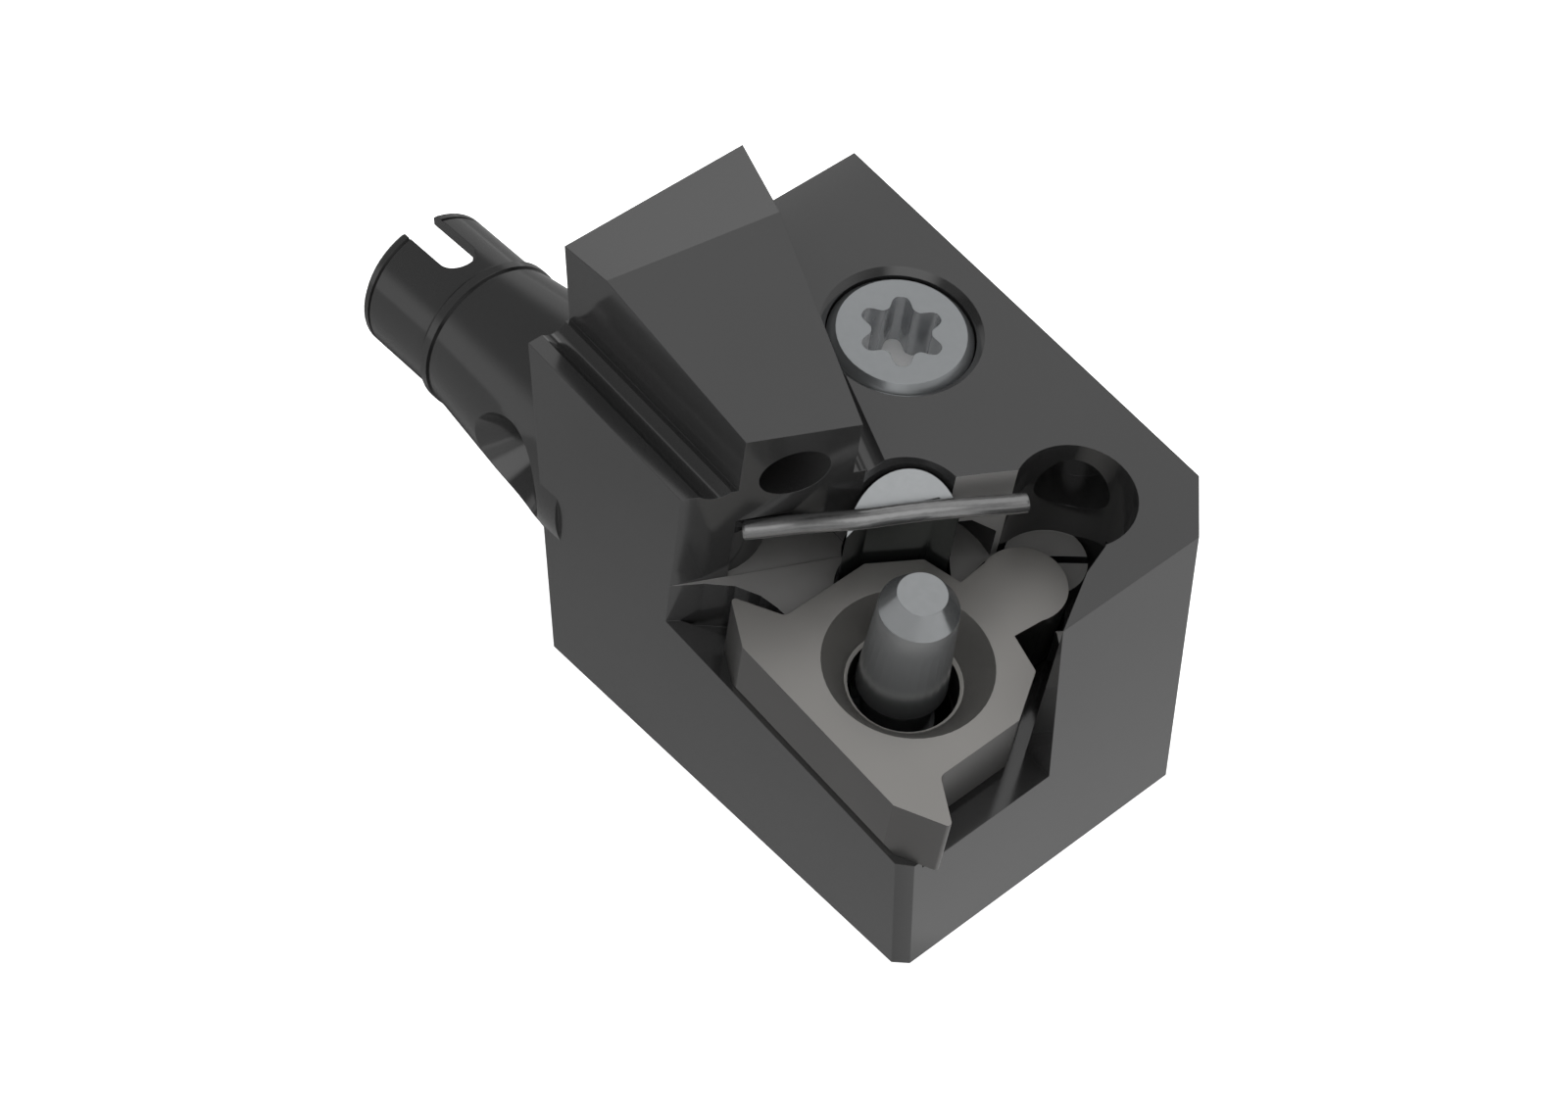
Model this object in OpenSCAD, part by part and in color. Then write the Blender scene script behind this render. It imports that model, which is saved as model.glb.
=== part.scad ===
// Threading tool head: a sloped steel block on a hollow conical shank, with a
// double-ended threading insert pulled into its pocket by a rocking lever.
// X runs from the shank to the cutting tip, Y across the head, Z up from the base.

/* [Block] */
// Length of the block from the rear face to the front face
block_l = 20; // [19:0.1:24]
// Width of the block
block_w = 15.3; // [15:0.1:18]
// Height of the sloped top where it meets the front face
front_h = 13.35; // [13:0.05:14.5]
// Fall of the sloped top towards the front, in degrees
top_fall = 9; // [8:0.5:10]
// Chamfer of the front edge below the cutting tip
tip_edge_chamfer = 0.47; // [0.2:0.01:1]
// Chamfer of the far front corner
far_corner_chamfer = 1.84; // [0.5:0.01:2.5]

/* [Shank] */
// Distance from the left face to the shank axis
shank_inset = 4; // [3.9:0.05:5]
// Height of the shank axis over the base
shank_z = 8.13; // [7.5:0.01:9]
// Length of the shank behind the rear face
shank_l = 12.7; // [12:0.1:16]
// Diameter of the plain cylinder at the shank's end
shank_d = 6.1; // [5.8:0.05:6.2]
// Length of the plain cylinder
shank_cyl_l = 3.95; // [3.8:0.05:5]
// Diameter of the cone where it meets the rear face
cone_d = 8.33; // [7.8:0.01:8.6]
// Diameter of the wide bore in the shank's end
shank_bore_d = 4.9; // [4.4:0.1:5]
// Width of the two slots across the shank's end
slot_w = 1.55; // [1.2:0.05:2]
// Depth of the two slots
slot_l = 3.3; // [2:0.1:3.4]
// Diameter of the locking hole's mouth on the cone
lock_d = 4.8; // [4.2:0.1:5]
// Distance of the locking hole behind the rear face
lock_x = 2.5; // [2.45:0.05:3.5]

/* [Nozzle boss] */
// Height of the boss over the base
boss_h = 20; // [19.5:0.1:22]
// Distance from the left face to the boss's left wall
boss_inset = 1.85; // [1.5:0.05:2.2]
// Turn of the boss's front face towards the insert, in degrees
boss_front_turn = 25; // [20:1:28]
// Taper of the boss's right wall, in degrees
boss_taper = 20.5; // [18:0.5:23]
// Fall of the boss's long facet, in degrees
boss_facet_fall = 17; // [14:0.5:19]
// Diameter of the coolant outlet
nozzle_d = 2.3; // [1.6:0.1:2.5]

/* [Pocket and insert] */
// Depth of the seat under the sloped top
seat_depth = 7.43; // [7.2:0.01:7.8]
// Thickness of the insert
insert_t = 3.05; // [2.6:0.05:3.2]
// Height of the locating ledge over the seat
ledge_h = 2.25; // [1.8:0.05:2.4]
// Distance of the pocket's far wall from the left face
pocket_w = 6.94; // [6.8:0.01:7.4]
// Diameter of the insert's hole
insert_hole_d = 4; // [3.9:0.05:4.2]
// Diameter of the insert's countersink
countersink_d = 6.18; // [5.6:0.02:6.4]

/* [Clamp] */
// Diameter of the clamp pin at its heel, where it presses on the insert's hole
pin_heel_d = 3.32; // [3.2:0.02:3.4]
// Height of the clamp pin over the seat
pin_h = 6.85; // [6:0.05:8]
// Diameter of the clamp screw's thread, drawn as a plain cylinder
screw_d = 5.38; // [5.1:0.02:5.6]
// Diameter of the flat top inside the clamp screw's chamfer
screw_flat_d = 4.76; // [4.4:0.02:5]
// Diameter of the clamp screw's dog point
screw_dog_d = 3.9; // [3.5:0.1:4]
// Diameter of the chamfered mouth of the screw's hole
screw_mouth_d = 5.96; // [5.8:0.02:6.2]
// Diameter of the spring wire
wire_d = 0.75; // [0.5:0.05:0.8]

/* [Hidden] */

$fn = 64;
eps = 0.01;

steel_black = "#4a4a4a";
carbide_grey = "#8a8884";
bright_steel = "#a6a9aa";
spring_steel = "silver";

// The sloped frame: u runs forward down the slope, v across from the left face and
// w square to the slope, all from the block's lower front left corner.
front_x = block_l / 2;
rear_x = -block_l / 2;
left_y = -shank_inset;
top_w = front_h * cos(top_fall);
seat_w = top_w - seat_depth;
ledge_w = seat_w + ledge_h;
insert_top_w = seat_w + insert_t;
relief_w = seat_w - 0.4;

// The insert, measured from its axis of symmetry and its long side
insert_u = -6.05;
hole_v = 4.24;
side_half = 3.96;
tip_half = 5.86;
tip_v = 1.035;
waist_half = 4.08;
notch_v = 2.07;
waist_v = 5.77;
shoulder_half = 2.95;
shoulder_v = 7.62;
neck_half = 1.36;
neck_v = 8.03;
lobe_v = 9.78;
lobe_r = 1.62;
countersink_l = 1.2;
land_w = insert_top_w - countersink_l;
rim_r = insert_hole_d / 2 + 0.12;

// Where the insert rests against its pocket, and where it stays clear of it
locate_gap = 0.02;
clear_gap = 0.3;
locate_u = insert_u - waist_half - locate_gap;

// Walls and relief bores of the pocket
post_u = -9.02;
post_v = 6.24;
post_hole_r = 2.1;
wall_low = [post_u, post_v + post_hole_r];
wall_high = [-7.9, 10.39];
corner_u = -5.92;
corner_v = 11.18;
corner_r = 2.2;
far_high = [-3.36, pocket_w + 2.34];
far_low = [-2.09, pocket_w];
boss_front_u = -13.89;
boss_front_v = 5.575;

// The clamp screw
screw_u = -14.98;
screw_v = 11.12;
screw_top_w = top_w - 0.04;
screw_l = 5;
dog_gap = 0.25;
thread_gap = 0.05;

// The lever rocks on a knuckle under its post, on the line from hole to screw
lever_turn = atan2(screw_v - hole_v, screw_u - insert_u);
post_s = norm([post_u - insert_u, post_v - hole_v]);
screw_s = norm([screw_u - insert_u, screw_v - hole_v]);
pin_back = (insert_hole_d - pin_heel_d) / 2;
heel_up = 1.45;
heel_w = seat_w + heel_up;
knuckle_down = 3.55;
knuckle_w = seat_w - knuckle_down;
knuckle_r = 1;
knuckle_gap = 0.05;
arm_half = 1.5;
arm_down = 3.75;
arm_t = 2.9;
arm_low_w = seat_w - arm_down;
arm_top_w = arm_low_w + arm_t;
tail_half = 1.25;
tail_down = 2.95;
tail_t = 1.6;
tail_low_w = seat_w - tail_down;
tail_top_w = tail_low_w + tail_t;
tail_r = 1.85;
tip_gap = 0.25;
post_r = 1.98;
post_rim_down = 0.47;
post_rim_w = top_w - post_rim_down;
lever_gap = 0.45;
cavity_low_w = arm_low_w - 0.3;
tunnel_low_w = tail_low_w - lever_gap;
tunnel_top_w = tail_top_w + 0.6;

// Coolant passages
feed_r = 1.6;
riser_r = 1.1;
riser_x = rear_x + 2.5;
nozzle_v = boss_inset + 1.77;
nozzle_w = top_w + 0.55;
plug_r = 1.5;
plug_l = 2;
plug_gap = 0.02;

// Points and directions in the plane
function unit(a) = a / norm(a);
function turned(a, t) = [a[0] * cos(t) - a[1] * sin(t), a[0] * sin(t) + a[1] * cos(t)];
function backwards(list) = [for (i = [len(list) - 1:-1:0]) list[i]];

// The corner b of the path a, b, c as an arc of radius r
function corner_arc(a, b, c, r) =
    let (p = unit(a - b), q = unit(c - b), half = acos(p * q) / 2,
         centre = b + r / sin(half) * unit(p + q), start = b + r / tan(half) * p - centre,
         sweep = (cross(p, q) > 0 ? -1 : 1) * (180 - 2 * half),
         n = max(1, round(abs(sweep) / 20)))
    [for (k = [0:n]) centre + turned(start, sweep * k / n)];

// An outline with a radius for each of its corners, where 0 leaves it sharp
function rounded(pts, radii) = let (n = len(pts))
    [for (i = [0:n - 1]) each radii[i] == 0 ? [pts[i]]
         : corner_arc(pts[(i + n - 1) % n], pts[i], pts[(i + 1) % n], radii[i])];

// An anticlockwise outline moved outwards by d, or inwards where d is negative
function grown(pts, d) = let (n = len(pts))
    [for (i = [0:n - 1]) let (p = unit(pts[i] - pts[(i + n - 1) % n]),
         q = unit(pts[(i + 1) % n] - pts[i]), a = [p[1], -p[0]], b = [q[1], -q[0]])
         pts[i] + d * (a + b) / (1 + a * b)];

// A point on the boss's front face at the distance v from the left face
function boss_front(v) = [boss_front_u + v * tan(boss_front_turn), v];

// Puts children into the sloped frame
module sloped() {
    translate([front_x, left_y, 0]) rotate([0, top_fall, 0]) children();
}

// Puts children into the lever's line, with x from the insert's hole to the screw
module lever_line() {
    sloped() translate([insert_u, hole_v, 0]) rotate([0, 0, lever_turn]) children();
}

// A slot outline with round ends from x = a to x = b
module slot_2d(a, b, r) {
    translate([a, -r]) square([b - a, 2 * r]);
    translate([a, 0]) circle(r);
    translate([b, 0]) circle(r);
}

module block_solid() {
    difference() {
        linear_extrude(boss_h)
            polygon([[rear_x, left_y], [front_x - tip_edge_chamfer, left_y],
                     [front_x, left_y + tip_edge_chamfer],
                     [front_x, left_y + block_w - far_corner_chamfer],
                     [front_x - far_corner_chamfer, left_y + block_w],
                     [rear_x, left_y + block_w]]);
        sloped() translate([-2 * block_l, -block_w, top_w])
            cube([4 * block_l, 3 * block_w, boss_h]);
    }
}

// The boss is a tapered prism, level at the rear and falling to its nose
module boss_solid() {
    nose_h = 2.77;
    facet_turn = -10.4;
    nose = boss_front(boss_inset);
    corner = boss_front(boss_front_v);
    back = [-1.4 * block_l, boss_front_v + (corner[0] + 1.4 * block_l) * tan(boss_taper)];
    nose_x = nose[0] * cos(top_fall) + (top_w + nose_h) * sin(top_fall);
    nose_z = (top_w + nose_h) * cos(top_fall) - nose[0] * sin(top_fall);
    intersection() {
        sloped() translate([0, 0, top_w - 1]) linear_extrude(boss_h)
            polygon([nose, corner, back, [back[0], boss_inset]]);
        translate([rear_x, left_y, 0]) cube([block_l, block_w, boss_h]);
        translate([front_x + nose_x, left_y + boss_inset, nose_z])
            rotate([0, 0, facet_turn]) rotate([0, boss_facet_fall, 0])
            translate([-3 * block_l, -block_l, -boss_h]) cube([4 * block_l, 2 * block_l, boss_h]);
    }
}

// Two ball-nosed channels run along the feet of the boss's walls
module boss_channels() {
    channel_r = 0.72;
    rise = 0.5;
    left = boss_front(boss_inset - channel_r);
    corner = boss_front(boss_front_v);
    sloped() translate([0, 0, top_w + rise]) {
        translate(left) rotate([0, -90, 0]) cylinder(r = channel_r, h = block_l);
        translate(left) sphere(channel_r);
        translate(corner) rotate([0, 0, -boss_taper]) translate([0, channel_r, 0])
            rotate([0, -90, 0]) cylinder(r = channel_r, h = block_l);
    }
}

// The turned shank, as half a section along its axis
module shank_solid() {
    ring_x = shank_cyl_l - shank_l;
    ring_r = shank_d / 2 + 0.19;
    cone_x = ring_x + 0.7;
    end_chamfer = 0.25;
    score_x = 0.5 - shank_l;
    score = 0.07;
    translate([rear_x, 0, shank_z]) rotate([0, 90, 0]) rotate([0, 0, 90]) rotate_extrude()
        polygon([[0, -shank_l], [shank_d / 2 - end_chamfer, -shank_l],
                 [shank_d / 2, end_chamfer - shank_l],
                 [shank_d / 2, score_x], [shank_d / 2 - score, score_x + score],
                 [shank_d / 2, score_x + 2 * score],
                 [shank_d / 2, ring_x], [ring_r, ring_x + 0.22],
                 [ring_r, cone_x - 0.12], [shank_d / 2 + 0.12, cone_x],
                 [cone_d / 2, 0], [cone_d / 2, 1], [0, 1]]);
}

// Bores, end slots and the conical seat of the locking screw
module shank_cuts() {
    bore_l = shank_cyl_l + 0.9;
    throat_l = 0.85;
    floor_r = 1.35;
    floor_y = feed_r + 0.5;
    translate([rear_x - shank_l, 0, shank_z]) rotate([0, 90, 0]) {
        translate([0, 0, -1]) cylinder(d = shank_bore_d, h = bore_l + 1);
        translate([0, 0, bore_l - eps]) cylinder(d1 = shank_bore_d, r2 = feed_r, h = throat_l);
        cylinder(r = feed_r, h = shank_l + riser_x - rear_x);
    }
    translate([rear_x - shank_l, 0, shank_z - shank_d]) linear_extrude(2 * shank_d)
        slot_2d(-1, slot_l - slot_w / 2, slot_w / 2);
    translate([rear_x - lock_x, -floor_y, shank_z]) rotate([90, 0, 0]) {
        cylinder(r1 = floor_r, d2 = lock_d, h = cone_d / 2 - floor_y);
        translate([0, 0, cone_d / 2 - floor_y - eps]) cylinder(d = lock_d, h = 1);
    }
}

// Outlet in the boss, riser from the shank's bore and the plug's seat under it
module coolant_bores() {
    out_u = boss_front(nozzle_v)[0];
    out_x = front_x + out_u * cos(top_fall) + nozzle_w * sin(top_fall);
    out_z = nozzle_w * cos(top_fall) - out_u * sin(top_fall);
    back_x = riser_x - riser_r / 2;
    translate([back_x, left_y + nozzle_v, out_z]) rotate([0, 90, 0])
        cylinder(d = nozzle_d, h = out_x - back_x + 2);
    translate([riser_x, 0, plug_l]) cylinder(r = riser_r, h = out_z - plug_l);
    translate([riser_x, 0, -1]) cylinder(r = plug_r, h = plug_l + 1);
}

// The insert's outline, anticlockwise from the front end of its long side
function insert_side(s) = [[s * side_half, 0], [s * tip_half, tip_v], [s * waist_half, notch_v],
    [s * waist_half, waist_v], [s * shoulder_half, shoulder_v], [s * neck_half, neck_v]];
insert_pts = [for (p = concat(insert_side(1), backwards(insert_side(-1)))) p + [insert_u, 0]];
insert_radii = [0, 0.14, 0.3, 0.15, 0.15, 0.25, 0.25, 0.15, 0.15, 0.3, 0.14, 0];

// Lobe behind the insert's neck, joined to it by straight flanks
module lobe_2d(grow) {
    translate([insert_u, lobe_v]) circle(lobe_r + grow);
    polygon([[insert_u - neck_half - grow, neck_v - 0.6], [insert_u + neck_half + grow, neck_v - 0.6],
             [insert_u + lobe_r * 0.96 + grow, lobe_v - 0.3],
             [insert_u - lobe_r * 0.96 - grow, lobe_v - 0.3]]);
}

module insert_2d() {
    polygon(rounded(insert_pts, insert_radii));
    lobe_2d(0);
}

// Open side of the pocket, past the block's front and left faces
open_u = 6;
open_v = -2;

// Plan of the pocket above the ledge
module pocket_upper_2d() {
    polygon([boss_front(open_v), [open_u, open_v], [open_u, pocket_w], far_low, far_high,
             [corner_u + corner_r - 0.05, corner_v - 0.6], wall_high, wall_low,
             [post_u, post_v], boss_front(boss_front_v + 0.4)]);
    translate([post_u, post_v]) circle(post_hole_r);
    translate([corner_u, corner_v]) circle(corner_r);
}

// Plan below the ledge, which follows the insert and locates its rear side and lobe
module pocket_lower_2d() {
    lobe_shift = [0.08, -0.1];
    lobe_gap = norm(lobe_shift) + locate_gap;
    polygon([boss_front(open_v), [open_u, open_v], [open_u, pocket_w], far_low, far_high,
             [insert_u + lobe_r + clear_gap, lobe_v], [insert_u - lobe_r - clear_gap, lobe_v],
             [insert_u - neck_half - clear_gap, neck_v + clear_gap],
             [insert_u - shoulder_half - clear_gap, shoulder_v + clear_gap],
             [locate_u, waist_v], [locate_u, 2.5], [locate_u - 0.75, 2.47],
             [locate_u - 1.5, 2.32], [locate_u - 2.35, 1.87], [locate_u - 3.1, 1.05],
             boss_front(0)]);
    translate([insert_u, lobe_v] + lobe_shift) circle(lobe_r + lobe_gap);
    translate([post_u, post_v]) circle(post_hole_r);
}

// The seat stands over the relieved floor, drawn in from the insert's edges
module seat_2d() {
    seat_in = 0.3;
    polygon(grown(insert_pts, -seat_in));
    lobe_2d(-seat_in);
    polygon([boss_front(open_v), [open_u, open_v], [open_u, 0.35],
             [insert_u + tip_half - 1.4, 0.9], [insert_u - waist_half, 2.4],
             [insert_u - waist_half - 1, 1.9], boss_front(0.4)]);
}

// The pocket, its stepped floor and the slitted pad behind the lobe
module pocket_cut() {
    pad_u = -6.7;
    pad_v = 11.65;
    pad_r = 1.54;
    ring_l = 0.9;
    slit_w = 0.3;
    sloped() {
        translate([0, 0, ledge_w]) linear_extrude(boss_h) pocket_upper_2d();
        translate([0, 0, seat_w]) linear_extrude(ledge_h + 1) pocket_lower_2d();
        translate([0, 0, relief_w]) linear_extrude(seat_w - relief_w + eps) difference() {
            pocket_lower_2d();
            seat_2d();
        }
        translate([0, 0, ledge_w - ring_l]) linear_extrude(ring_l + 1) difference() {
            translate([corner_u, corner_v]) circle(corner_r);
            translate([pad_u, pad_v]) circle(pad_r);
        }
        translate([pad_u, pad_v, ledge_w - ring_l]) rotate([0, 0, 52])
            translate([0, -slit_w / 2, 0]) cube([3, slit_w, ring_l + 1]);
    }
}

// Undercut round the post, on under the boss's front face as far as a round pillar
module post_undercut() {
    inner_r = 3;
    outer_r = 4;
    roof_up = 2.4;
    rim_up = 1.53;
    step = 0.06;
    pillar = [-15.62, 2.65];
    pillar_r = 2.5;
    back_u = -13.9;
    sloped() {
        translate([post_u, post_v, ledge_w]) rotate_extrude()
            polygon([[0, 0], [outer_r, 0], [outer_r, rim_up], [inner_r, roof_up], [0, roof_up]]);
        translate([0, 0, ledge_w - step]) linear_extrude(roof_up + step) difference() {
            polygon([boss_front(1.9), boss_front(post_v), [back_u, post_v], [back_u, 1.9]]);
            translate(pillar) circle(pillar_r);
        }
    }
}

// Blind bore in the side of the pocket's corner relief
module side_bore() {
    side_bore_r = 1.35;
    side_bore_turn = 129;
    side_bore_l = 1.4;
    side_bore_down = 2.2;
    sloped() translate([corner_u, corner_v, top_w - side_bore_down])
        rotate([0, 90, side_bore_turn]) cylinder(r = side_bore_r, h = corner_r + side_bore_l);
}

// Slot for the lever, open under the insert, and its tunnel to the screw
module lever_cavity() {
    cut_half = arm_half + lever_gap;
    slot_past = 1.5;
    lever_line() {
        translate([0, 0, tunnel_low_w]) linear_extrude(ledge_w - tunnel_low_w)
            slot_2d(post_s, post_s + slot_past, cut_half);
        translate([0, 0, cavity_low_w]) linear_extrude(ledge_w - cavity_low_w)
            slot_2d(0, post_s, cut_half);
        translate([0, 0, tunnel_low_w]) linear_extrude(tunnel_top_w - tunnel_low_w)
            slot_2d(post_s, screw_s, tail_half + lever_gap);
        translate([screw_s, 0, tunnel_low_w])
            cylinder(r = tail_r + lever_gap, h = tunnel_top_w - tunnel_low_w);
        translate([post_s, cut_half, knuckle_w]) rotate([90, 0, 0])
            cylinder(r = knuckle_r + knuckle_gap, h = 2 * cut_half);
    }
    sloped() translate([post_u, post_v, cavity_low_w])
        cylinder(r = post_hole_r, h = boss_h);
}

// The screw's tapped hole with its chamfered mouth, and the narrower way for its point
module screw_cuts() {
    hole_r = screw_d / 2 + thread_gap;
    mouth_l = screw_mouth_d / 2 - hole_r;
    sloped() translate([screw_u, screw_v, 0]) {
        translate([0, 0, screw_top_w - screw_l - dog_gap])
            cylinder(r = hole_r, h = screw_l + 1);
        translate([0, 0, top_w - mouth_l])
            cylinder(r1 = hole_r, r2 = screw_mouth_d / 2 + mouth_l, h = 2 * mouth_l);
        translate([0, 0, tunnel_top_w - 1])
            cylinder(r = screw_dog_d / 2 + dog_gap,
                     h = screw_top_w - screw_l - tunnel_top_w + 1);
    }
}

// Slot in the boss's front face that takes the spring's cut end
module spring_slot() {
    slot_gap = 0.12;
    slot_start = 0.3;
    slot_end = 1.7;
    side = wire_d + 2 * slot_gap;
    sloped() translate(spring_route[0]) rotate([0, 0, 49])
        translate([-slot_start, -side / 2, -side / 2])
        cube([slot_start + slot_end, side, side + slot_gap]);
}

module head_body() {
    color(steel_black) difference() {
        union() {
            difference() {
                union() {
                    block_solid();
                    boss_solid();
                }
                boss_channels();
            }
            shank_solid();
        }
        shank_cuts();
        coolant_bores();
        pocket_cut();
        post_undercut();
        side_bore();
        lever_cavity();
        screw_cuts();
        spring_slot();
    }
}

module cutting_insert() {
    rim_l = 0.14;
    color(carbide_grey) sloped() difference() {
        translate([0, 0, seat_w]) linear_extrude(insert_t) insert_2d();
        translate([insert_u, hole_v, 0]) {
            translate([0, 0, seat_w - 1]) cylinder(d = insert_hole_d, h = insert_t + 2);
            translate([0, 0, land_w - rim_l]) cylinder(d1 = insert_hole_d, r2 = rim_r, h = rim_l);
            translate([0, 0, land_w - eps])
                cylinder(r1 = rim_r, d2 = countersink_d, h = countersink_l + 2 * eps);
        }
        foot_bevel();
    }
}

// Bevel along the foot of the insert's long side
module foot_bevel() {
    bevel_h = 0.45;
    bevel_in = 0.22;
    translate([insert_u - 2 * side_half, 0, seat_w]) rotate([90, 0, 90])
        linear_extrude(4 * side_half)
        polygon([[-1, -1], [bevel_in, -1], [bevel_in, 0], [0, bevel_h], [-1, bevel_h]]);
}

// One-piece lever: arm, knuckle, tail under the screw, tapered pin and slanted post
module clamp_lever() {
    color(bright_steel) {
        lever_line() {
            translate([0, 0, arm_low_w]) linear_extrude(arm_top_w - arm_low_w)
                slot_2d(pin_back, post_s, arm_half);
            translate([0, 0, tail_low_w]) linear_extrude(tail_top_w - tail_low_w) {
                slot_2d(post_s, screw_s, tail_half);
                translate([screw_s, 0]) circle(tail_r);
            }
            translate([post_s, arm_half - 0.1, knuckle_w]) rotate([90, 0, 0])
                cylinder(r = knuckle_r, h = 2 * arm_half - 0.2);
            lever_pin();
        }
        lever_post();
    }
}

// Tapered pin with a rounded heel over its neck and a chamfered head
module lever_pin() {
    head_r = 1.43;
    flat_r = 0.89;
    chamfer_l = 0.85;
    heel_r = 0.35;
    neck_r = pin_heel_d / 2 - heel_r;
    pin_w = seat_w + pin_h;
    heel = [for (a = [-90:22.5:0]) [neck_r + heel_r * cos(a), heel_w + heel_r * sin(a)]];
    translate([pin_back, 0, 0]) rotate_extrude()
        polygon(concat([[0, arm_top_w - 1], [neck_r, arm_top_w - 1]], heel,
                       [[head_r, pin_w - chamfer_l], [flat_r, pin_w], [0, pin_w]]));
}

// Post behind the insert, cut back to its outline, with a slanted face under the spring
module lever_post() {
    post_clear = 0.25;
    face_turn = -52;
    face_fall = 38;
    face_l = 4 * post_r;
    sloped() difference() {
        translate([post_u, post_v, arm_top_w - 1])
            cylinder(r = post_r, h = post_rim_w - arm_top_w + 1);
        translate([0, 0, seat_w - post_clear]) linear_extrude(boss_h)
            polygon(grown(insert_pts, post_clear));
        translate([post_u, post_v, post_rim_w]) rotate([0, 0, face_turn])
            translate([-post_r, 0, 0]) rotate([0, face_fall, 0])
            translate([-face_l, -face_l, 0]) cube(2 * face_l);
    }
}

// Outline of a six-lobe socket
module six_lobe_2d(tip_d, root_d, flank_r) {
    difference() {
        circle(d = tip_d);
        for (k = [0:5]) rotate(30 + 60 * k) translate([root_d / 2 + flank_r, 0]) circle(flank_r);
    }
}

// Set screw with a chamfered top, a six-lobe socket and a dog point
module clamp_screw() {
    socket_l = 1.1;
    cone_l = 0.3;
    socket_turn = 8;
    chamfer_l = 0.36;
    shoulder_l = 0.5;
    tip_chamfer = 0.7;
    tip_w = tail_top_w + tip_gap;
    flat_r = screw_flat_d / 2;
    thread_r = screw_d / 2;
    dog_r = screw_dog_d / 2;
    color(bright_steel) sloped() translate([screw_u, screw_v, 0]) difference() {
        rotate_extrude()
            polygon([[0, tip_w], [dog_r - tip_chamfer, tip_w], [dog_r, tip_w + tip_chamfer],
                     [dog_r, screw_top_w - screw_l],
                     [thread_r - shoulder_l, screw_top_w - screw_l],
                     [thread_r, screw_top_w - screw_l + shoulder_l],
                     [thread_r, screw_top_w - chamfer_l], [flat_r, screw_top_w],
                     [0, screw_top_w]]);
        translate([0, 0, screw_top_w - socket_l]) rotate([0, 0, socket_turn])
            linear_extrude(socket_l + 1) six_lobe_2d(2.82, 2.04, 0.6);
        translate([0, 0, screw_top_w - socket_l - cone_l])
            cylinder(r1 = 0.2, r2 = 0.98, h = cone_l + eps);
    }
}

// Points that the spring wire passes, in the sloped frame
spring_route = [[-12.86, 2.18, top_w - 2.39], [-12.38, 2.73, top_w - 2.19],
                [-11.68, 3.53, top_w - 1.84], [-10.92, 4.21, top_w - 1.39],
                [-10.14, 5.01, top_w - 1.04], [-9.2, 6.4, top_w - 0.74],
                [-8.28, 7.84, top_w - 0.6], [-7.4, 9.38, top_w - 0.69],
                [-7.02, 10.06, top_w - 0.69]];
spring_steps = 4;

// A smooth curve through the route's points
function route_point(i) = spring_route[max(0, min(len(spring_route) - 1, i))];
function curve(a, b, c, d, t) = 0.5 * (2 * b + (c - a) * t + (2 * a - 5 * b + 4 * c - d) * t * t
                                       + (3 * b - a - 3 * c + d) * t * t * t);
spring_path = [for (i = [0:len(spring_route) - 2]) for (k = [0:spring_steps - 1])
                   curve(route_point(i - 1), route_point(i), route_point(i + 1),
                         route_point(i + 2), k / spring_steps), route_point(len(spring_route))];

// Round wire swept along a path as one closed solid
module swept_wire(path, r, sides) {
    n = len(path);
    rings = [for (i = [0:n - 1]) let (d = unit(path[min(i + 1, n - 1)] - path[max(i - 1, 0)]),
             a = unit(cross(d, [0, 0, 1])), b = cross(a, d)) for (k = [0:sides - 1])
             path[i] + r * (cos(360 * k / sides) * a + sin(360 * k / sides) * b)];
    walls = [for (i = [0:n - 2]) for (k = [0:sides - 1]) let (m = (k + 1) % sides)
             [i * sides + k, i * sides + m, (i + 1) * sides + m, (i + 1) * sides + k]];
    first = [for (k = [sides - 1:-1:0]) k];
    last = [for (k = [0:sides - 1]) (n - 1) * sides + k];
    polyhedron(rings, concat(walls, [first], [last]));
}

module return_spring() {
    color(spring_steel) sloped() swept_wire(spring_path, wire_d / 2, 12);
}

// Screw plug that closes the riser's drilled end in the base
module coolant_plug() {
    sink = 0.2;
    hex_af = 1.3;
    hex_l = 0.9;
    color(steel_black) translate([riser_x, 0, sink]) difference() {
        cylinder(r = plug_r - plug_gap, h = plug_l - sink);
        translate([0, 0, -1]) cylinder(d = hex_af / cos(30), h = hex_l + 1, $fn = 6);
    }
}

head_body();
cutting_insert();
clamp_lever();
clamp_screw();
return_spring();
coolant_plug();
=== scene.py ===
"""Looks of a threading tool head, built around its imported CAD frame."""
import math

import bmesh
import bpy
from mathutils import Matrix, Vector


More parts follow.
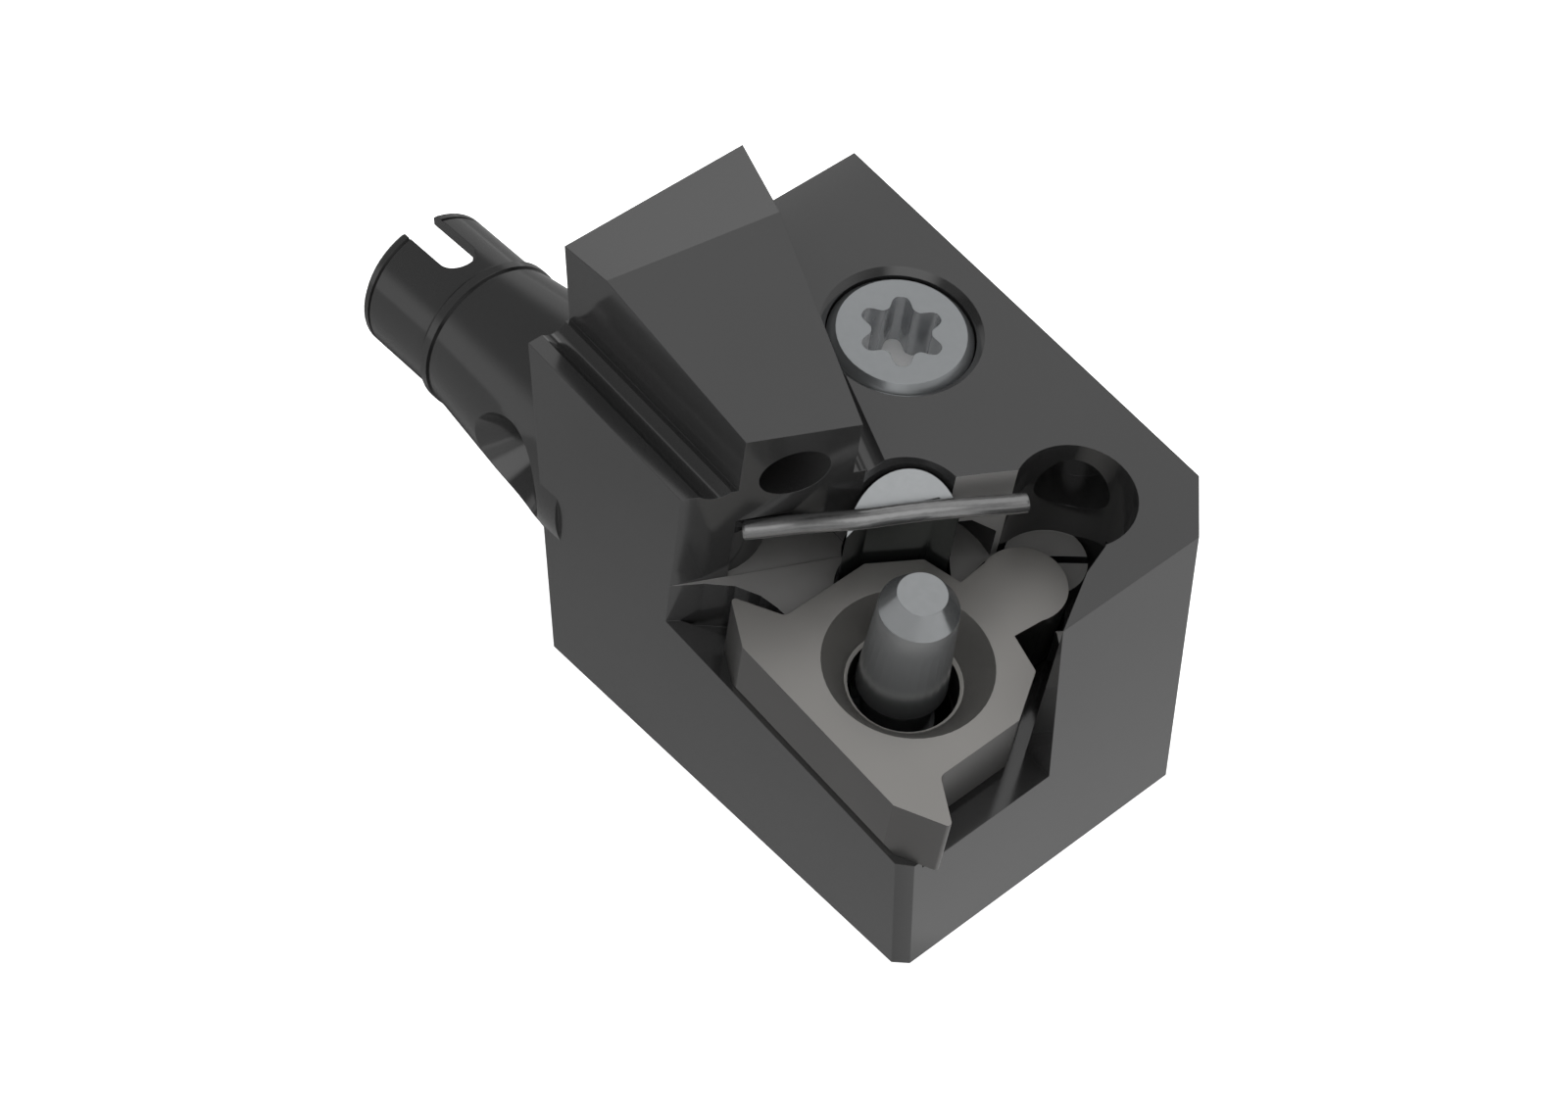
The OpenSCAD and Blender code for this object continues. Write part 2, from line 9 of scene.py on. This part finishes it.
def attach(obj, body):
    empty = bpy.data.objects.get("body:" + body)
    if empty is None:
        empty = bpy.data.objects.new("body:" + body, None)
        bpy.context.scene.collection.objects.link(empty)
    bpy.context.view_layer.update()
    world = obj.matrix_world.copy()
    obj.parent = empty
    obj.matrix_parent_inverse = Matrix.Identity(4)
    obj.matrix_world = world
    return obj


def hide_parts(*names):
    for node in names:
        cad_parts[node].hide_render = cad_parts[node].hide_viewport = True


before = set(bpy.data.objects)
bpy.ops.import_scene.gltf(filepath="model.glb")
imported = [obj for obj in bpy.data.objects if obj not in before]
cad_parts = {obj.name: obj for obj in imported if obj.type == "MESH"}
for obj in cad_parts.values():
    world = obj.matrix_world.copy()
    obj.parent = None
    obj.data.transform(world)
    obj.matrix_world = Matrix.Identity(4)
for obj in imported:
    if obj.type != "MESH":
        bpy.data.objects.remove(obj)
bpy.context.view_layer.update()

bl_info = {
    "name": "Threading tool head",
    "version": (1, 0, 0),
    "blender": (4, 5, 0),
    "location": "View3D > Sidebar > Tool head",
    "description": "Finishes a modular threading head and sets up its studio",
    "category": "Object",
}

MM = 0.001

# The pocket, the insert and the clamp stand square to the block's sloped top, which
# falls forward by this angle. Places on the slope are in millimetres from the near corner
# at the foot of the block: along the slope, across it and square up from it.
TOP_FALL = math.radians(9)
FOOT_CORNER = Vector((10, -4, 0)) * MM
SLOPE = Matrix.Translation(FOOT_CORNER) @ Matrix.Rotation(TOP_FALL, 4, "Y")

# Axes of the insert's hole, the lever's post and the clamp screw on the slope
HOLE = Vector((-6.05, 4.24))
POST = Vector((-9.02, 6.24))
SCREW = Vector((-14.98, 11.12))


def linear(hex_colour):
    """The linear RGBA of an sRGB colour written as #rrggbb."""
    values = [int(hex_colour[i:i + 2], 16) / 255 for i in (1, 3, 5)]
    return [v / 12.92 if v <= 0.04045 else ((v + 0.055) / 1.055) ** 2.4
            for v in values] + [1.0]


# Materials


def add_node(tree, kind, inputs=None, **settings):
    """Adds a node of that kind, sets its settings, and fills or links its inputs.

    An input goes by its name, or by its number where the name alone is unclear.
    """
    made = tree.nodes.new(kind)
    for key, value in settings.items():
        setattr(made, key, value)
    for key, value in (inputs or {}).items():
        if isinstance(value, bpy.types.NodeSocket):
            tree.links.new(value, made.inputs[key])
        else:
            made.inputs[key].default_value = value
    return made


def new_material(name):
    """An empty node material with its output."""
    material = bpy.data.materials.new(name)
    material.use_nodes = True
    material.node_tree.nodes.clear()
    output = add_node(material.node_tree, "ShaderNodeOutputMaterial")
    return material, material.node_tree, output


def shade(tree, output, **inputs):
    """Closes a material with the standard surface shader."""
    names = {key.replace("_", " "): value for key, value in inputs.items()}
    shader = add_node(tree, "ShaderNodeBsdfPrincipled", names)
    tree.links.new(shader.outputs["BSDF"], output.inputs["Surface"])


def black_oxide_steel(finish):
    """Ground tool steel with a black oxide skin under a film of oil.

    The skin is a few microns of magnetite, so the ground steel still gives it a dark
    metal's sheen, while a fifth of its light scatters in the oxide. The oil leaves faint
    cloudy patches and the grinding a trace of grain.
    """
    material, tree, output = new_material("black_oxide_steel")
    place = add_node(tree, "ShaderNodeTexCoord").outputs["Object"]
    # patches of oil, about 6 mm across
    clouds = add_node(tree, "ShaderNodeTexNoise",
                      {"Vector": place, "Scale": 1 / (6 * MM), "Detail": 3.0})
    # marks of a grit of about 0.08 mm, drawn 0.15 mm wide and very faint
    grit = add_node(tree, "ShaderNodeTexNoise",
                    {"Vector": place, "Scale": 1 / (0.15 * MM), "Detail": 2.0})
    colour = add_node(tree, "ShaderNodeMix",
                      {0: clouds.outputs[0], 6: linear(finish.skin_dark),
                       7: linear(finish.skin_light)}, data_type="RGBA").outputs[2]
    rough = add_node(tree, "ShaderNodeMapRange",
                     {"Value": clouds.outputs[0], "To Min": 0.11,
                      "To Max": 0.15}).outputs[0]
    # edges broken by 0.03 mm
    edge = add_node(tree, "ShaderNodeBevel", {"Radius": 0.03 * MM}, samples=6)
    bump = add_node(tree, "ShaderNodeBump",
                    {"Height": grit.outputs[0], "Strength": 0.0015, "Distance": 0.02 * MM,
                     "Normal": edge.outputs[0]})
    shade(tree, output, Base_Color=colour, Metallic=0.8, Roughness=rough,
          Normal=bump.outputs[0])
    return material


def painted_light_black_steel():
    """Black oxide painted paler and duller on the pocket's ledge and wall.

    The pale colour and the scattering skin are painted light: they lighten these
    faces deep in the pocket, where the head shades them.
    """
    material, tree, output = new_material("painted_light_black_steel")
    place = add_node(tree, "ShaderNodeTexCoord").outputs["Object"]
    # patches of oil, about 2 mm across
    clouds = add_node(tree, "ShaderNodeTexNoise",
                      {"Vector": place, "Scale": 1 / (2 * MM), "Detail": 2.0})
    colour = add_node(tree, "ShaderNodeMix",
                      {0: clouds.outputs[0], 6: linear("#7c7b7a"), 7: linear("#8e8d8c")},
                      data_type="RGBA").outputs[2]
    edge = add_node(tree, "ShaderNodeBevel", {"Radius": 0.03 * MM}, samples=6)
    shade(tree, output, Base_Color=colour, Metallic=0.2, Roughness=0.4,
          Normal=edge.outputs[0])
    return material


def carbide(name, dark, light, metallic, rough):
    """Sintered tungsten carbide: a dull warm grey, with a fine cloudy grain."""
    material, tree, output = new_material(name)
    place = add_node(tree, "ShaderNodeTexCoord").outputs["Object"]
    # grains of about 0.01 mm, drawn at 0.12 mm so that they show
    grain = add_node(tree, "ShaderNodeTexNoise",
                     {"Vector": place, "Scale": 1 / (0.12 * MM), "Detail": 4.0})
    # clouds where the binder lies denser, about 4 mm across
    clouds = add_node(tree, "ShaderNodeTexNoise",
                      {"Vector": place, "Scale": 1 / (4 * MM), "Detail": 2.0})
    colour = add_node(tree, "ShaderNodeMix",
                      {0: clouds.outputs[0], 6: linear(dark), 7: linear(light)},
                      data_type="RGBA").outputs[2]
    edge = add_node(tree, "ShaderNodeBevel", {"Radius": 0.03 * MM}, samples=6)
    bump = add_node(tree, "ShaderNodeBump",
                    {"Height": grain.outputs[0], "Strength": 0.03, "Distance": 0.02 * MM,
                     "Normal": edge.outputs[0]})
    shade(tree, output, Base_Color=colour, Metallic=metallic, Roughness=rough,
          Normal=bump.outputs[0])
    return material


def worked_steel(name, dark, light, rough, metallic=0.88):
    """Tool steel as turned, drawn or punched: its tone and gloss waver faintly."""
    material, tree, output = new_material(name)
    place = add_node(tree, "ShaderNodeTexCoord").outputs["Object"]
    # tool marks of about 0.1 mm, drawn at 0.3 mm so that they show
    grain = add_node(tree, "ShaderNodeTexNoise",
                     {"Vector": place, "Scale": 1 / (0.3 * MM), "Detail": 3.0})
    colour = add_node(tree, "ShaderNodeMix",
                      {0: grain.outputs[0], 6: linear(dark), 7: linear(light)},
                      data_type="RGBA").outputs[2]
    gloss = add_node(tree, "ShaderNodeMapRange",
                     {"Value": grain.outputs[0], "To Min": rough - 0.03,
                      "To Max": rough + 0.03}).outputs[0]
    edge = add_node(tree, "ShaderNodeBevel", {"Radius": 0.04 * MM}, samples=6)
    shade(tree, output, Base_Color=colour, Metallic=metallic, Roughness=gloss,
          Normal=edge.outputs[0])
    return material


# Pieces


def merged_copy(node):
    """A bmesh of a CAD node with its loose triangles merged."""
    form = bmesh.new()
    form.from_mesh(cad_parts[node].data)
    bmesh.ops.remove_doubles(form, verts=form.verts, dist=0.0005 * MM)
    form.normal_update()
    return form


def place_on_slope(face):
    """The middle of a face on the slope."""
    return SLOPE.inverted() @ face.calc_center_median() / MM


def normal_on_slope(face):
    """The direction that a face looks in, square to the slope."""
    return SLOPE.to_3x3().transposed() @ face.normal


def is_painted_light_face(face):
    """Whether a face is the pocket's ledge, or its wall between post and corner relief.

    The wall is known by its direction and by how far off the block's corner it stands.
    """
    ledge_low, ledge_high = 7.8, 8.1
    wall_normal = Vector((0.88, -0.48, 0))
    wall_reach = -11.95
    play = 0.2
    # the cosine over which two directions count as the same
    same = 0.99
    middle = place_on_slope(face)
    normal = normal_on_slope(face)
    ledge = normal.z > same and ledge_low < middle.z < ledge_high
    off_wall = abs(middle.dot(wall_normal) - wall_reach)
    wall = normal.dot(wall_normal) > same and off_wall < play and middle.z > ledge_high
    return ledge or wall


def is_groove(face):
    """Whether a face belongs to the shank's end ring or to a flank of its collar."""
    end_ring = -21.9
    collar_back, collar_front = -18.8, -18.0
    # a flank leans more than the shank's sides do and less than a flat end
    least_lean, most_lean = 0.4, 0.9
    along = face.calc_center_median().x / MM
    turned = along < end_ring or collar_back < along < collar_front
    return turned and least_lean < abs(face.normal.x) < most_lean


def is_post_side(face):
    """Whether a face is one of the post's upright sides over the insert's seat."""
    post_r = 2.05
    seat = 5.76
    most_rise = 0.3
    middle = place_on_slope(face)
    upright = abs(normal_on_slope(face).z) < most_rise
    return upright and middle.z > seat and (middle.xy - POST).length < post_r


def deepen_socket(form):
    """Cuts the clamp screw's socket anew: wider and deeper, with round lobes.

    Its walls get the second material and its bottom the third.
    """
    # the screw's flat top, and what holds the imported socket
    flat = 13.146
    flat_r = 2.3
    cad_depth = 1.5
    # the socket as the photograph shows it
    lobes = 6
    depth = 2.45
    mean_r = 1.34
    lobe = 0.25
    turn = math.radians(19)
    steps = 144
    old = []
    for face in form.faces:
        middle = place_on_slope(face)
        near = (middle.xy - SCREW).length < flat_r
        if near and middle.z > flat - cad_depth:
            old.append(face)
    bmesh.ops.delete(form, geom=old, context="FACES")
    rim = [edge for edge in form.edges if edge.is_boundary]
    circle = bmesh.ops.create_circle(form, segments=steps, radius=mean_r)["verts"]
    for vert in circle:
        wave = math.cos(lobes * (math.atan2(vert.co.y, vert.co.x) - turn))
        # the cube of the wave rounds the lobes and the teeth between them
        vert.co *= (mean_r + lobe * (1.4 * wave - 0.4 * wave ** 3)) / mean_r
    place = SLOPE @ Matrix.Scale(MM, 4) @ Matrix.Translation((SCREW.x, SCREW.y, flat))
    bmesh.ops.transform(form, matrix=place, verts=circle)
    mouth = [edge for edge in form.edges if edge.is_wire]
    bmesh.ops.bridge_loops(form, edges=rim + mouth)
    walls = bmesh.ops.extrude_edge_only(form, edges=mouth)["geom"]
    down = SLOPE.to_3x3() @ Vector((0, 0, -depth)) * MM
    foot = [item for item in walls if isinstance(item, bmesh.types.BMVert)]
    bmesh.ops.translate(form, vec=down, verts=foot)
    for item in walls:
        if isinstance(item, bmesh.types.BMFace):
            item.material_index = 1
    foot_ring = [edge for edge in form.edges if edge.is_boundary]
    bottom = bmesh.ops.contextual_create(form, geom=foot_ring)["faces"]
    bottom[0].material_index = 2
    bmesh.ops.recalc_face_normals(form, faces=form.faces)


def add_piece(form, name, node, body, slot, *materials, smooth_angle=9):
    """Makes a bmesh into the piece that stands for a CAD node.

    Edges that turn by more than smooth_angle, in degrees, stay sharp.
    """
    mesh = bpy.data.meshes.new(name)
    form.to_mesh(mesh)
    form.free()
    # the frame's own normals would hide which edges are sharp
    if "custom_normal" in mesh.attributes:
        mesh.attributes.remove(mesh.attributes["custom_normal"])
    mesh.shade_smooth()
    mesh.set_sharp_from_angle(angle=math.radians(smooth_angle))
    for material in materials:
        mesh.materials.append(material)
    piece = bpy.data.objects.new(name, mesh)
    bpy.context.scene.collection.objects.link(piece)
    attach(piece, body)
    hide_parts(node)
    return piece


class HeadFinish(bpy.types.PropertyGroup):
    """Colours of the head's finishes."""

    skin_dark: bpy.props.StringProperty(
        name="Black skin, dark", description="Darker tone of the black oxide",
        default="#585858")
    skin_light: bpy.props.StringProperty(
        name="Black skin, light", description="Lighter tone of the black oxide",
        default="#5c5c5c")
    carbide_dark: bpy.props.StringProperty(
        name="Carbide, dark", description="Darker tone of the insert", default="#a4a29f")
    carbide_light: bpy.props.StringProperty(
        name="Carbide, light", description="Lighter tone of the insert",
        default="#acaaa7")


class HeadStudio(bpy.types.PropertyGroup):
    """Camera and light."""

    azimuth: bpy.props.FloatProperty(
        name="Azimuth", description="Turn of the camera round the head",
        default=0.8605, subtype="ANGLE")
    elevation: bpy.props.FloatProperty(
        name="Elevation", description="Height of the camera over the floor",
        default=0.8405, subtype="ANGLE")
    lens: bpy.props.FloatProperty(
        name="Lens", description="Focal length", default=74.54, unit="CAMERA")
    room: bpy.props.FloatProperty(
        name="Room", description="Strength of the dim room round the head",
        default=0.16, min=0)
    backdrop: bpy.props.FloatProperty(
        name="Backdrop", description="Strength of the pale backdrop near the horizon",
        default=0.5, min=0)
    front_box: bpy.props.FloatProperty(
        name="Front box", description="Strength of the soft box behind the camera",
        default=0.95, min=0)
    top_box: bpy.props.FloatProperty(
        name="Top box", description="Strength of the soft box over the head",
        default=0.68, min=0)


class TOOLHEAD_OT_body(bpy.types.Operator):
    """Finish the block, its nozzle boss and its shank in black oxide."""

    bl_idname = "toolhead.body"
    bl_label = "Head body"

    def execute(self, context):
        finish = context.scene.toolhead_finish
        # the shank's end ring and the collar's flanks are painted nearly black as painted shade
        painted_shade_grooves = worked_steel("painted_shade_black_grooves", "#262626", "#2c2c2c", 0.2)
        form = merged_copy("head_body")
        for face in form.faces:
            # the pocket's ledge and wall get painted light: a paler colour
            if is_painted_light_face(face):
                face.material_index = 1
            elif is_groove(face):
                face.material_index = 2
        add_piece(form, "block_and_shank", "head_body", "head", "black_steel",
                  black_oxide_steel(finish), painted_light_black_steel(), painted_shade_grooves)
        return {"FINISHED"}


class TOOLHEAD_OT_insert(bpy.types.Operator):
    """Finish the threading insert in ground carbide."""

    bl_idname = "toolhead.insert"
    bl_label = "Cutting insert"

    def execute(self, context):
        finish = context.scene.toolhead_finish
        # the top is ground pale; the sides are painted darker as painted shade, and a
        # narrow rim round the hole is painted pale as a painted highlight
        top = carbide("ground_carbide", finish.carbide_dark, finish.carbide_light, 0.85, 0.4)
        painted_shade_side = carbide("painted_shade_carbide", "#5f5e5d", "#676665", 0.85, 0.35)
        rim = carbide("painted_highlight_carbide_rim", "#c9c6c1", "#d2cfca", 0.3, 0.3)
        rim_r = 2.13
        rim_rise = 0.2
        side_rise = 0.35
        form = merged_copy("cutting_insert")
        for face in form.faces:
            rise = normal_on_slope(face).z
            near_hole = (place_on_slope(face).xy - HOLE).length < rim_r
            if near_hole and rise > rim_rise:
                face.material_index = 2
            elif abs(rise) < side_rise:
                face.material_index = 1
        add_piece(form, "threading_insert", "cutting_insert", "head", "carbide",
                  top, painted_shade_side, rim)
        return {"FINISHED"}


class TOOLHEAD_OT_clamp(bpy.types.Operator):
    """Finish the lever with its pin and post, and the clamp screw."""

    bl_idname = "toolhead.clamp"
    bl_label = "Clamp"

    def execute(self, context):
        # polished pin and post, cool and bright, with the post's sides painted dark as painted
        # shade
        lever = worked_steel("polished_lever_steel", "#a2a5a6", "#adafb1", 0.24)
        # the post's sides get painted shade: a dark colour
        skin = worked_steel("painted_shade_lever_steel", "#4a4d4c", "#525554", 0.2)
        form = merged_copy("clamp_lever")
        for face in form.faces:
            if is_post_side(face):
                face.material_index = 1
        add_piece(form, "pin_lever", "clamp_lever", "lever", "lever_steel", lever, skin)
        # satin turned screw; the punched socket's walls are painted paler and its rough
        # bottom nearly white, as painted light deep in the socket
        screw = worked_steel("satin_screw_steel", "#a0a3a5", "#a9acae", 0.3)
        wall = worked_steel("painted_light_socket_wall", "#b2b4b6", "#bec0c2", 0.26, metallic=0.72)
        bottom = worked_steel("painted_light_socket_bottom", "#f0f0f0", "#f8f8f8", 0.5, metallic=0.1)
        form = merged_copy("clamp_screw")
        deepen_socket(form)
        add_piece(form, "lobed_screw", "clamp_screw", "screw", "screw_steel",
                  screw, wall, bottom, smooth_angle=22)
        return {"FINISHED"}


class TOOLHEAD_OT_spring(bpy.types.Operator):
    """Finish the spring wire across the post, and the plug under the riser."""

    bl_idname = "toolhead.spring"
    bl_label = "Spring and plug"

    def execute(self, context):
        # drawn wire, bright in streaks along its bends
        wire = worked_steel("drawn_spring_wire", "#8c8c8c", "#a0a0a0", 0.25)
        piece = add_piece(merged_copy("return_spring"), "spring_wire",
                          "return_spring", "head", "spring_steel", wire, smooth_angle=60)
        round_off = piece.modifiers.new("round", "SUBSURF")
        round_off.levels = round_off.render_levels = 1
        finish = context.scene.toolhead_finish
        add_piece(merged_copy("coolant_plug"), "riser_plug", "coolant_plug",
                  "head", "black_steel", black_oxide_steel(finish))
        return {"FINISHED"}


class TOOLHEAD_OT_stage(bpy.types.Operator):
    """Set the white studio, the floor, the lamp and the camera."""

    bl_idname = "toolhead.stage"
    bl_label = "Studio"

    def execute(self, context):
        studio = context.scene.toolhead_studio
        make_world(studio)
        make_floor()
        make_lamp()
        make_camera(studio)
        context.scene.view_settings.view_transform = "Standard"
        return {"FINISHED"}


# Stage


def seen_in_metal(tree):
    """One for the rays by which metal mirrors the studio, and nought for the others."""
    path = add_node(tree, "ShaderNodeLightPath")
    return add_node(tree, "ShaderNodeMath",
                    {0: path.outputs["Is Glossy Ray"],
                     1: path.outputs["Is Transmission Ray"]},
                    operation="MAXIMUM").outputs[0]


def make_world(studio):
    """White to the camera; the metal sees a dim room with two large soft boxes.

    One box stands behind the camera and one hangs over the head. Each is a direction,
    its strength, and the cosines of the angles at which its soft edge ends and starts.
    Near the horizon the room gets lighter, as a pale backdrop does.
    """
    boxes = (((0.505, -0.435, 0.745), studio.front_box, 0.8, 0.95),
             ((0.05, 0.42, 0.905), studio.top_box, 0.79, 0.93))
    backdrop_low, backdrop_top = 0.25, 0.5
    world = bpy.data.worlds.new("white_studio")
    bpy.context.scene.world = world
    world.use_nodes = True
    tree = world.node_tree
    tree.nodes.clear()
    sight = add_node(tree, "ShaderNodeTexCoord").outputs["Generated"]
    height = add_node(tree, "ShaderNodeSeparateXYZ", {"Vector": sight}).outputs["Z"]
    tone = add_node(tree, "ShaderNodeMapRange",
                    {"Value": height, "From Min": backdrop_low, "From Max": backdrop_top,
                     "To Min": studio.backdrop, "To Max": studio.room},
                    interpolation_type="SMOOTHSTEP").outputs[0]
    for direction, strength, edge, full in boxes:
        near = add_node(tree, "ShaderNodeVectorMath",
                        {0: sight, 1: Vector(direction).normalized()},
                        operation="DOT_PRODUCT").outputs["Value"]
        box = add_node(tree, "ShaderNodeMapRange",
                       {"Value": near, "From Min": edge, "From Max": full,
                        "To Min": 0.0, "To Max": strength},
                       interpolation_type="SMOOTHSTEP").outputs[0]
        tone = add_node(tree, "ShaderNodeMath", {0: tone, 1: box},
                        operation="MAXIMUM").outputs[0]
    mirrored = add_node(tree, "ShaderNodeBackground", {"Color": (1, 1, 1, 1), "Strength": tone})
    white = add_node(tree, "ShaderNodeBackground", {"Color": (1, 1, 1, 1), "Strength": 1.0})
    mix = add_node(tree, "ShaderNodeMixShader",
                   {0: seen_in_metal(tree), 1: white.outputs[0], 2: mirrored.outputs[0]})
    output = add_node(tree, "ShaderNodeOutputWorld")
    tree.links.new(mix.outputs[0], output.inputs[0])


def floor_tone(tree):
    """How light the floor is in the metal.

    The block's left face and the shank mirror its left part, which dims away from the
    head and is darkest under the shank. The front face mirrors its bright right part,
    which dims again beyond. A place across the floor is the sum of its X and Y in
    millimetres, which grows towards the right of the picture.
    """
    place = add_node(tree, "ShaderNodeTexCoord").outputs["Object"]
    across = add_node(tree, "ShaderNodeVectorMath", {0: place, 1: (1 / MM, 1 / MM, 0)},
                      operation="DOT_PRODUCT").outputs["Value"]
    left = add_node(tree, "ShaderNodeMapRange",
                    {"Value": across, "From Min": -28.0, "From Max": 6.0,
                     "To Min": 0.25, "To Max": 0.4}).outputs[0]
    right = add_node(tree, "ShaderNodeMapRange",
                     {"Value": across, "From Min": 5.5, "From Max": 8.5,
                      "To Min": 0.0, "To Max": 0.36}).outputs[0]
    beyond = add_node(tree, "ShaderNodeMapRange",
                      {"Value": across, "From Min": 8.0, "From Max": 30.0,
                       "To Min": 0.0, "To Max": -0.14}).outputs[0]
    # the shank's shadow: an oval drawn out along it, round the foot of its end
    oval = add_node(tree, "ShaderNodeMapping",
                    {"Vector": place, "Location": (13.5, -2, 0),
                     "Scale": (0.55 / MM, 1 / MM, 1 / MM)}).outputs[0]
    away = add_node(tree, "ShaderNodeVectorMath", {0: oval}, operation="LENGTH").outputs["Value"]
    shadow = add_node(tree, "ShaderNodeMapRange",
                      {"Value": away, "From Min": 3.5, "From Max": 8.0,
                       "To Min": 0.2, "To Max": 1.0},
                      interpolation_type="SMOOTHSTEP").outputs[0]
    tone = add_node(tree, "ShaderNodeMath", {0: left, 1: right}, operation="ADD").outputs[0]
    tone = add_node(tree, "ShaderNodeMath", {0: tone, 1: beyond}, operation="ADD").outputs[0]
    return add_node(tree, "ShaderNodeMath", {0: tone, 1: shadow},
                    operation="MULTIPLY").outputs[0]


def make_floor():
    """A pale floor: white to the camera but for the head's faint shadow."""
    half_width = 3.0
    under_base = 0.05 * MM
    form = bmesh.new()
    bmesh.ops.create_grid(form, x_segments=1, y_segments=1, size=half_width)
    mesh = bpy.data.meshes.new("floor")
    form.to_mesh(mesh)
    form.free()
    floor = bpy.data.objects.new("floor", mesh)
    bpy.context.scene.collection.objects.link(floor)
    floor.location.z = -under_base
    material, tree, output = new_material("pale_floor")
    mirrored = add_node(tree, "ShaderNodeEmission",
                        {"Color": (1, 1, 1, 1), "Strength": floor_tone(tree)})
    # the glow keeps the floor white, and the paint takes the head's shadow
    glow = add_node(tree, "ShaderNodeEmission", {"Color": (1, 1, 1, 1), "Strength": 0.8})
    paint = add_node(tree, "ShaderNodeBsdfDiffuse", {"Color": linear("#f6f6f6")})
    shadowed = add_node(tree, "ShaderNodeAddShader", {0: glow.outputs[0], 1: paint.outputs[0]})
    mix = add_node(tree, "ShaderNodeMixShader",
                   {0: seen_in_metal(tree), 1: shadowed.outputs[0], 2: mirrored.outputs[0]})
    tree.links.new(mix.outputs[0], output.inputs["Surface"])
    mesh.materials.append(material)


def make_lamp():
    """A small soft lamp high behind the head, which the boss's flat rear top mirrors."""
    size = Vector((22, 24)) * MM
    strength = 0.9
    data = bpy.data.lights.new("boss_lamp", "AREA")
    data.shape = "RECTANGLE"
    data.size, data.size_y = size
    data.energy = strength * math.pi * size.x * size.y
    lamp = bpy.data.objects.new("boss_lamp", data)
    lamp.location = Vector((-40, 32, 60)) * MM
    lamp.visible_camera = False
    bpy.context.scene.collection.objects.link(lamp)


def make_camera(studio):
    """A camera at the photograph's angle and lens, solved from the block's edges."""
    roll = 0.0031
    photo_w = 1600
    photo_centre = Vector((800, 567.5))
    lens_centre = Vector((796.98, 555.84))
    # where the corner at the foot of the block lies, in the camera's own axes
    corner = Vector((4.2524, -15.2086, -115.9432)) * MM
    az, el = studio.azimuth, studio.elevation
    back = Vector((math.sin(az) * math.cos(el), -math.cos(az) * math.cos(el), math.sin(el)))
    right = Vector((math.cos(az), math.sin(az), 0))
    up = back.cross(right)
    turn = Matrix((right, up, back)).transposed() @ Matrix.Rotation(-roll, 3, "Z")
    spot = FOOT_CORNER - turn @ corner
    data = bpy.data.cameras.new("camera")
    data.lens = studio.lens
    data.sensor_width = 36
    data.shift_x = (photo_centre.x - lens_centre.x) / photo_w
    data.shift_y = (lens_centre.y - photo_centre.y) / photo_w
    data.clip_start = 0.01
    camera = bpy.data.objects.new("camera", data)
    camera.matrix_world = Matrix.Translation(spot) @ turn.to_4x4()
    bpy.context.scene.collection.objects.link(camera)
    bpy.context.scene.camera = camera


# Sidebar and registration


class TOOLHEAD_PT_panel(bpy.types.Panel):
    """Lists the head's pieces and its studio."""

    bl_idname = "TOOLHEAD_PT_panel"
    bl_label = "Threading tool head"
    bl_space_type = "VIEW_3D"
    bl_region_type = "UI"
    bl_category = "Tool head"

    def draw(self, context):
        for step in STEPS:
            self.layout.operator(step.bl_idname)


GROUPS = (HeadFinish, HeadStudio)
STEPS = (TOOLHEAD_OT_body, TOOLHEAD_OT_insert, TOOLHEAD_OT_clamp, TOOLHEAD_OT_spring,
         TOOLHEAD_OT_stage)


def register():
    """Adds the settings, the operators and the panel."""
    for item in GROUPS + STEPS + (TOOLHEAD_PT_panel,):
        bpy.utils.register_class(item)
    bpy.types.Scene.toolhead_finish = bpy.props.PointerProperty(type=HeadFinish)
    bpy.types.Scene.toolhead_studio = bpy.props.PointerProperty(type=HeadStudio)


def unregister():
    """Takes the settings, the operators and the panel out again."""
    del bpy.types.Scene.toolhead_studio
    del bpy.types.Scene.toolhead_finish
    for item in reversed(GROUPS + STEPS + (TOOLHEAD_PT_panel,)):
        bpy.utils.unregister_class(item)


def main():
    """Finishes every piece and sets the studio."""
    register()
    bpy.ops.toolhead.body()
    bpy.ops.toolhead.insert()
    bpy.ops.toolhead.clamp()
    bpy.ops.toolhead.spring()
    bpy.ops.toolhead.stage()


if __name__ == "__main__":
    main()
